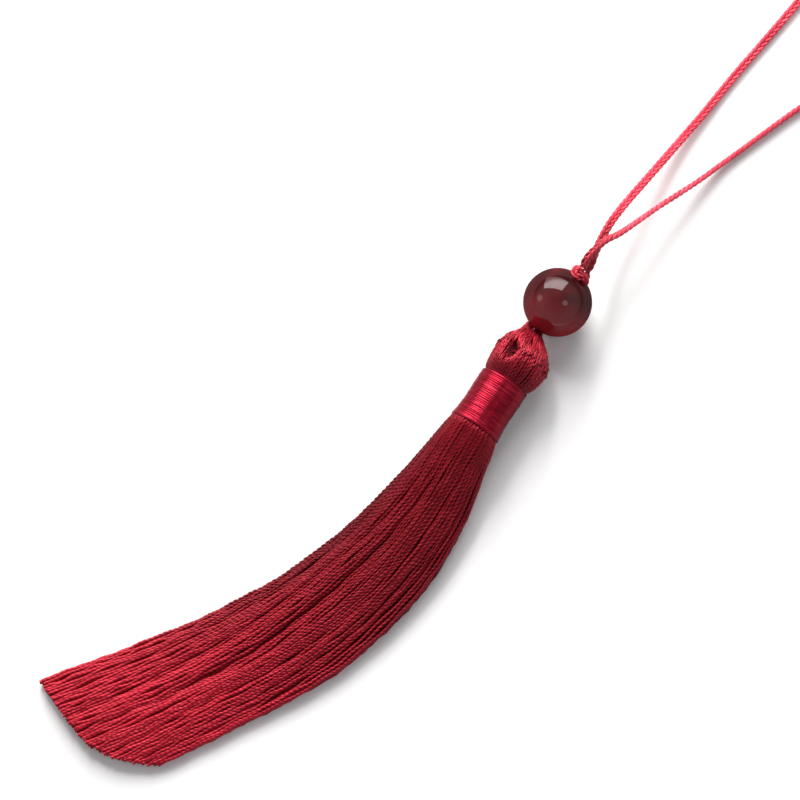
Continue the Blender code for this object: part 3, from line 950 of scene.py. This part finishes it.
BEAD_RADIUS = 5.0
BEAD_PLACE = Vector((0.05, 13.84, 4.92))
BORE_AXIS = Vector((0.222, 0.872, 0.436)).normalized()
STEM_ROUTE = (
    # x, y and z of the stem's middle, as far as the bead
    (-0.42, 6.55, 4.20), (-0.46, 7.45, 3.98), (-0.62, 8.25, 3.45), (-0.84, 8.85, 2.96),
    (-1.04, 9.45, 2.76),
)
STEM_STOPS = (-4.0, -2.0, 0.0, 2.0, 4.4)    # along the bore, from the bead's middle
STEM_APART = 0.70                # how far each leg lies from the middle outside the bore
STEM_IN_BORE = 0.36              # and inside it
BORE_SHARE = 0.35                # share of the bead's radius where the legs begin to part
STEM_ROLL = 20.0
STEM_NARROW = 0.9
STEM_STEP = 0.2

stem_middle = smooth_route([Vector(point) for point in STEM_ROUTE]
                           + [BEAD_PLACE + BORE_AXIS * stop for stop in STEM_STOPS], STEM_STEP)
stem_strands = Strands()
for leg in (-1, 1):
    line = []
    for i, point in enumerate(stem_middle):
        side = heading(stem_middle, i).cross(Vector((0, 0, 1))).normalized()
        parted = ease((point - BEAD_PLACE).length / BEAD_RADIUS - BORE_SHARE)
        line.append(point + side * leg * blend(STEM_IN_BORE, STEM_APART, parted))
    plait(stem_strands, line, [STEM_ROLL * leg] * len(line), narrow=STEM_NARROW)
stem_strands.piece("stem_plaits", cord_finish, "braided_cord", "stem")


# The bead: a ball of polished red agate, ground round and drilled, with the bore's edge eased.
# The stone lets some light through, so it glows on the side away from the window: a glow painted into its
# colour.

BORE_RADIUS = 1.3
BORE_MOUTH = 1.75
BORE_CHAMFER = 0.45
BORE_EDGE = math.radians(30.0)   # the bore's mouth turns more sharply than this
BEAD_STEPS = 96
BEAD_PROFILE_STEPS = 48
STONE_GRAIN = 260.0
STONE_COLOURS = (
    # how cloudy, the stone's colour there
    (0.30, (0.024, 0.002, 0.003)),
    (0.55, (0.044, 0.003, 0.004)),
    (0.75, (0.075, 0.004, 0.005)),
)
GLOW_WAY = (-0.25, -0.85, 0.20)  # the way to the painted glow: right, up and back as the camera sees them
GLOW_DEPTH = 0.1
PAINTED_GLOW_COLOUR = (0.22, 0.012, 0.018, 1.0)
CORD_SHOWS = (-0.66, -0.55, 0.50)    # the way to the painted red spot where the cord shows through the stone
CORD_CLEAR = 0.3
CORD_REACH = 1.6
PAINTED_CORD_COLOUR = (0.26, 0.010, 0.018, 1.0)
COAT_MOST, COAT_LEAST = 0.27, 0.075    # how much of its polish shows near the middle, and at the rim
COAT_RISES = (-0.08, 0.12)       # from 0 at the middle to 1 at the rim, where the polish comes
COAT_FADES = (0.20, 0.30)        # and where it goes


def in_picture(way):
    """A direction given to the right, up and back in the camera's terms."""
    return (right * way[0] + up * way[1] + back * way[2]).normalized()


bead_points, bead_faces = [], []
mouth = math.asin(BORE_MOUTH / BEAD_RADIUS)
bore_end = BEAD_RADIUS * math.cos(mouth) - BORE_CHAMFER
bead_profile = [(BORE_RADIUS, -bore_end), (BORE_RADIUS, bore_end)]
for i in range(BEAD_PROFILE_STEPS + 1):
    lie = blend(mouth, math.pi - mouth, i / BEAD_PROFILE_STEPS)
    bead_profile.append((BEAD_RADIUS * math.sin(lie), BEAD_RADIUS * math.cos(lie)))
to_bore = BORE_AXIS.to_track_quat("Z", "Y").to_matrix()
for radius, z in bead_profile:
    for k in range(BEAD_STEPS):
        turn = 2 * math.pi * k / BEAD_STEPS
        point = BEAD_PLACE + to_bore @ Vector((radius * math.cos(turn), radius * math.sin(turn), z))
        point.z = max(point.z, 0.0)
        bead_points.append(point)
for i in range(len(bead_profile)):
    row, after = i * BEAD_STEPS, (i + 1) % len(bead_profile) * BEAD_STEPS
    for k in range(BEAD_STEPS):
        j = (k + 1) % BEAD_STEPS
        bead_faces.append((row + k, row + j, after + j, after + k))

agate = Finish("red_agate", Roughness=0.30, Specular_IOR_Level=0.0, Coat_IOR=2.5,
               Coat_Roughness=0.04)
spot = agate.spot()
stone = agate.ramp(agate.noise(spot, STONE_GRAIN, 3.0), *STONE_COLOURS)
# painted glow: the stone's colour lighter on the side away from the window
lit_way = in_picture(GLOW_WAY)
glow_from = in_frame(BEAD_PLACE).dot(lit_way)
glow = agate.vector_maths("DOT_PRODUCT", spot, lit_way)
painted_glow = glow.step(glow_from - GLOW_DEPTH * BEAD_RADIUS * MM, glow_from + BEAD_RADIUS * MM)
stone = agate.mix(stone, PAINTED_GLOW_COLOUR, painted_glow)
# painted: a soft red spot on the stone where the cord shows through it
cord_place = in_frame(BEAD_PLACE + in_picture(CORD_SHOWS) * BEAD_RADIUS)
cord_apart = agate.vector_maths("DISTANCE", spot, cord_place)
agate.paint(agate.mix(stone, PAINTED_CORD_COLOUR, 1.0 - cord_apart.step(CORD_CLEAR * MM, CORD_REACH * MM)))
facing = agate.node("ShaderNodeLayerWeight", {}, {"Blend": 0.5}, out="Facing")
gloss = facing.step(*COAT_RISES) * (1.0 - facing.step(*COAT_FADES))
agate.feed("Coat Weight", COAT_LEAST + gloss * (COAT_MOST - COAT_LEAST))
mesh_piece("bead_ball", bead_points, bead_faces, agate, "bead", sharp_from=BORE_EDGE)


# The knot: the doubled braid tied once on itself, as an overhand knot, and drawn down hard on
# the bead. Its line is a trefoil about the bore's axis, a little wider than it is tall.

KNOT_OUT = 5.25                  # how far from the bead's middle it sits
KNOT_WIDE = 0.44
KNOT_TALL = 0.36
KNOT_LIFT = 0.42
KNOT_ASIDE = 0.25
KNOT_NARROW = 0.75
KNOT_STEPS = 40
KNOT_STEP = 0.15

knot_middle = BEAD_PLACE + BORE_AXIS * KNOT_OUT
knot_side = BORE_AXIS.cross(Vector((0, 0, 1))).normalized()
knot_up = knot_side.cross(BORE_AXIS)
knot_line = []
for i in range(KNOT_STEPS + 1):
    turn = 2 * math.pi * i / KNOT_STEPS
    across = (math.sin(turn) + 2.0 * math.sin(2.0 * turn)) * KNOT_WIDE - KNOT_ASIDE
    upright = (math.cos(turn) - 2.0 * math.cos(2.0 * turn)) * KNOT_TALL
    lift = -math.sin(3.0 * turn) * KNOT_LIFT
    knot_line.append(knot_middle + knot_side * across + knot_up * upright + BORE_AXIS * lift)
knot_strands = Strands()
knot_route = smooth_route(knot_line, KNOT_STEP)
plait(knot_strands, knot_route, [0.0] * len(knot_route), narrow=KNOT_NARROW)
knot_strands.piece("knot_plait", cord_finish, "braided_cord", "knot")


# The table and the light: a pale floor, a tall window beyond the tassel with a brighter gap in
# its middle, two small round lamps that show on the bead, and soft light from all round.

FLOOR_HALF = 3.0                 # in metres
FLOOR_CORNERS = ((-1, -1), (1, -1), (1, 1), (-1, 1))
FLOOR_COLOUR = (0.82, 0.82, 0.82, 1.0)
LIGHT_DISTANCE = 0.9             # in metres, as the lights' sizes are
LIGHT_COLOUR = (1.0, 0.98, 0.96)
LONG_SIDE = (0.900, -0.050, 0.432)    # the way that each light's width runs
LIGHTS = (
    # name, shape, the way to it as the camera sees it, size, power
    ("window", "RECTANGLE", (-0.118, 0.928, 0.354), (1.05, 0.75), 12.5),
    ("window_gap", "RECTANGLE", (-0.118, 0.928, 0.354), (0.12, 0.75), 8.5),
    ("lamp_left", "ELLIPSE", (-0.889, 0.201, 0.408), (0.30, 0.30), 0.24),
    ("lamp_near", "ELLIPSE", (0.373, -0.059, 0.925), (0.28, 0.28), 0.32),
)
ROOM_COLOUR = (0.95, 0.96, 1.0, 1.0)
ROOM_STRENGTH = 0.42

floor_finish = Finish("pale_floor", Base_Color=FLOOR_COLOUR, Roughness=0.85, Specular_IOR_Level=0.2)
floor_mesh = bpy.data.meshes.new("floor")
floor_mesh.from_pydata([(x * FLOOR_HALF, y * FLOOR_HALF, 0.0) for x, y in FLOOR_CORNERS],
                       [], [(0, 1, 2, 3)])
floor_mesh.materials.append(floor_finish.material)
floor = bpy.data.objects.new("floor", floor_mesh)
bpy.context.collection.objects.link(floor)

for name, shape, way, size, power in LIGHTS:
    light = bpy.data.lights.new(name, "AREA")
    light.shape = shape
    light.size, light.size_y = size
    light.energy = power
    light.color = LIGHT_COLOUR
    toward = in_picture(way)
    level = in_picture(LONG_SIDE)
    level = (level - toward * level.dot(toward)).normalized()
    aimed = Matrix((level, toward.cross(level), toward)).transposed().to_4x4()
    aimed.translation = in_frame(BEAD_PLACE) + toward * LIGHT_DISTANCE
    lamp = bpy.data.objects.new(name, light)
    lamp.matrix_world = aimed
    bpy.context.collection.objects.link(lamp)

world = bpy.data.worlds.new("room")
world.use_nodes = True
room = world.node_tree.nodes["Background"]
room.inputs["Color"].default_value = ROOM_COLOUR
room.inputs["Strength"].default_value = ROOM_STRENGTH
bpy.context.scene.world = world
bpy.context.scene.view_settings.view_transform = "Standard"
